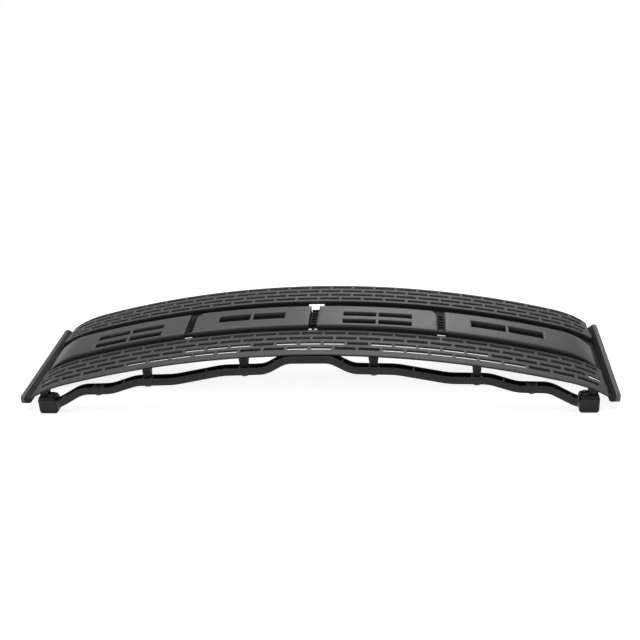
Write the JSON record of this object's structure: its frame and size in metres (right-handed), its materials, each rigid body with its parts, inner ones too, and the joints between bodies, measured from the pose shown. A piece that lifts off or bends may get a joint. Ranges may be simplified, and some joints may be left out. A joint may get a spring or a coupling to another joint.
{
  "type": "front grille",
  "caption": "Arched pickup grille: staggered slotted mesh above and below four raised plain pads, side blades, and a wavy gloss rail on posts below.",
  "frame": {"origin": "middle of the bounding box in X and Y, on the plane that the end boxes and corner feet stand on", "axes": "+X across the car, +Y up the face towards its top edge, +Z out of the face, forwards on the car"},
  "size_m": [1.122, 0.296, 0.1412],
  "materials": {
    "charcoal_plastic": "fine grained, moulded in dark charcoal",
    "satin_grey_plastic": "satin, smooth, a little lighter than the mesh",
    "gloss_black_plastic": "gloss black, smooth",
    "black_plastic": "plain moulded black",
    "spring_steel": "zinc plated spring steel",
    "black_zinc_steel": "black zinc plated"
  },
  "bodies": {
    "root": {"blade_screws": "black_zinc_steel", "centre_channel": "black_plastic", "corner_bracket_left": "black_plastic", "corner_bracket_right": "black_plastic", "end_box_left": "gloss_black_plastic", "end_box_right": "gloss_black_plastic", "end_box_sleeve_left": "spring_steel", "end_box_sleeve_right": "spring_steel", "end_post_left": "black_plastic", "end_post_right": "black_plastic", "flange_clip_nuts": "spring_steel", "gap_bracket_centre": "black_plastic", "gap_bracket_left": "black_plastic", "gap_bracket_right": "black_plastic", "lower_mesh_panel": "charcoal_plastic", "lower_post_1": "black_plastic", "lower_post_2": "black_plastic", "lower_post_3": "black_plastic", "lower_post_4": "black_plastic", "lower_rail": "gloss_black_plastic", "pad_inner_left": "satin_grey_plastic", "pad_inner_right": "satin_grey_plastic", "pad_outer_left": "satin_grey_plastic", "pad_outer_right": "satin_grey_plastic", "pad_push_nuts": "spring_steel", "panel_clips": "spring_steel", "rail_screws": "black_zinc_steel", "side_blade_left": "charcoal_plastic", "side_blade_right": "charcoal_plastic", "upper_mesh_panel": "charcoal_plastic", "upper_rail": "black_plastic"}
  },
  "joints": []
}
